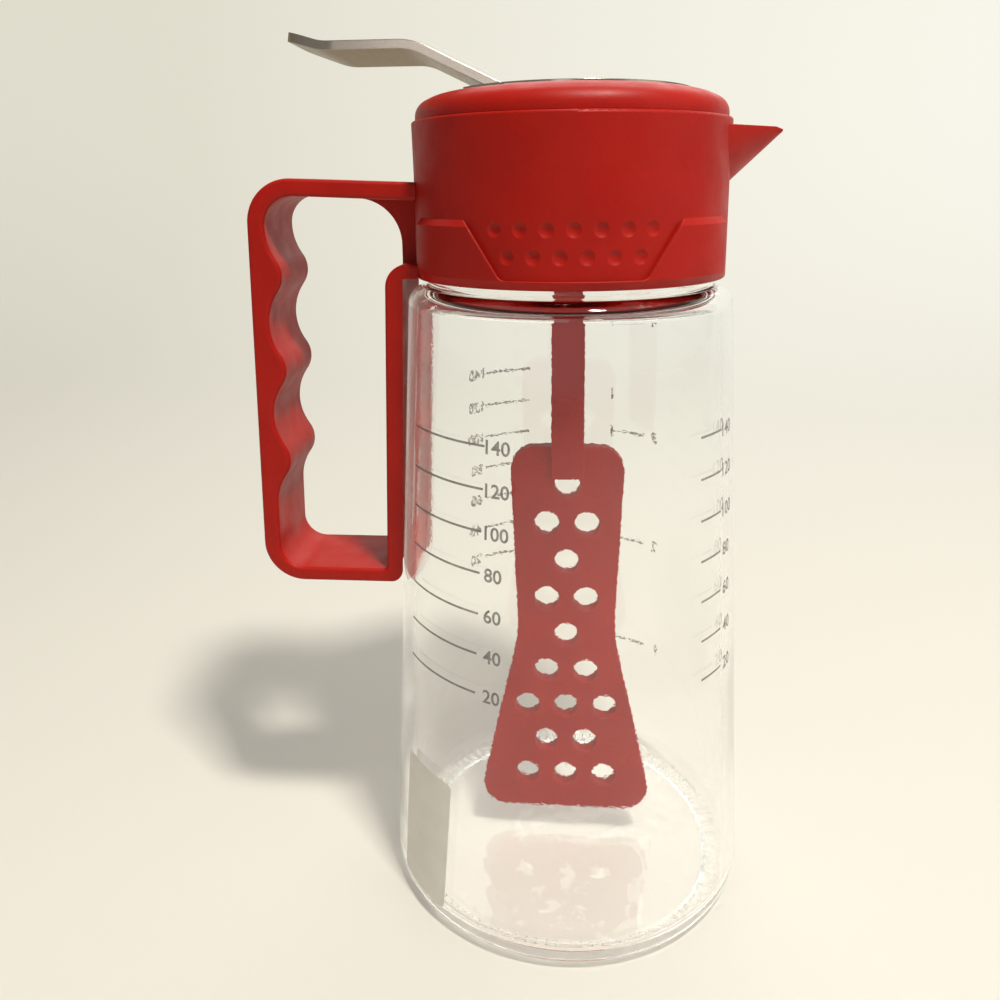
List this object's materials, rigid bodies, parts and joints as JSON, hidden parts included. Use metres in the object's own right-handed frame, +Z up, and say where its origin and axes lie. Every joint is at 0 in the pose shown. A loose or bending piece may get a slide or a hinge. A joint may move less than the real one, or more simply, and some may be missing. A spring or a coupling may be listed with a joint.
{
  "type": "salad dressing shaker bottle",
  "caption": "Clear glass bottle with a red pour lid, side handle, steel thumb lever and an inner mixing paddle on a rod.",
  "frame": {"origin": "bottle axis at the level of the glass foot's standing ring", "axes": "+Z up along the bottle axis, +X towards the spout, -X towards the handle and the thumb lever"},
  "size_m": [0.1147, 0.0846, 0.1935],
  "materials": {
    "clear_glass": "clear, smooth",
    "red_plastic": "satin moulded",
    "red_rough_plastic": "fine rough moulded",
    "satin_steel": "satin",
    "bright_steel": "bright",
    "white_silicone": "matt"
  },
  "bodies": {
    "bottle": {"glass_bottle": "clear_glass"},
    "lid": {"lid_collar": "red_plastic", "handle": "red_plastic", "handle_screws": "bright_steel", "cap_ring": "red_plastic", "hinge_pin": "bright_steel", "pour_cup": "red_plastic", "mouth_gasket": "white_silicone", "spring_bridge": "red_plastic", "return_spring": "bright_steel"},
    "lever": {"lever_plate": "satin_steel", "lever_carrier": "red_plastic", "plate_screws": "bright_steel", "rod_pin": "bright_steel"},
    "mixer": {"mixing_rod": "red_rough_plastic", "valve_disc": "white_silicone", "mixing_paddle": "red_rough_plastic", "paddle_pin": "bright_steel"}
  },
  "joints": [
    {"name": "lid_lift", "type": "slide", "parent": "bottle", "child": "lid", "axis": [0, 0, 1], "range_m": [0, 0.15]},
    {"name": "lever_press", "type": "hinge", "parent": "lid", "child": "lever", "pos_m": [-0.0195, 0, 0.176], "axis": [0, -1, 0], "range_deg": [0, 20], "stiffness_Nm_per_rad": 0.29, "springref_deg": -20.05},
    {"name": "mixer_lift", "type": "slide", "parent": "lid", "child": "mixer", "axis": [0, 0, 1], "range_m": [0, 0.0069], "deforming": ["return_spring"]}
  ],
  "couplings": [
    {"joint": "mixer_lift", "follows": "lever_press", "m_per_rad": 0.0197}
  ]
}
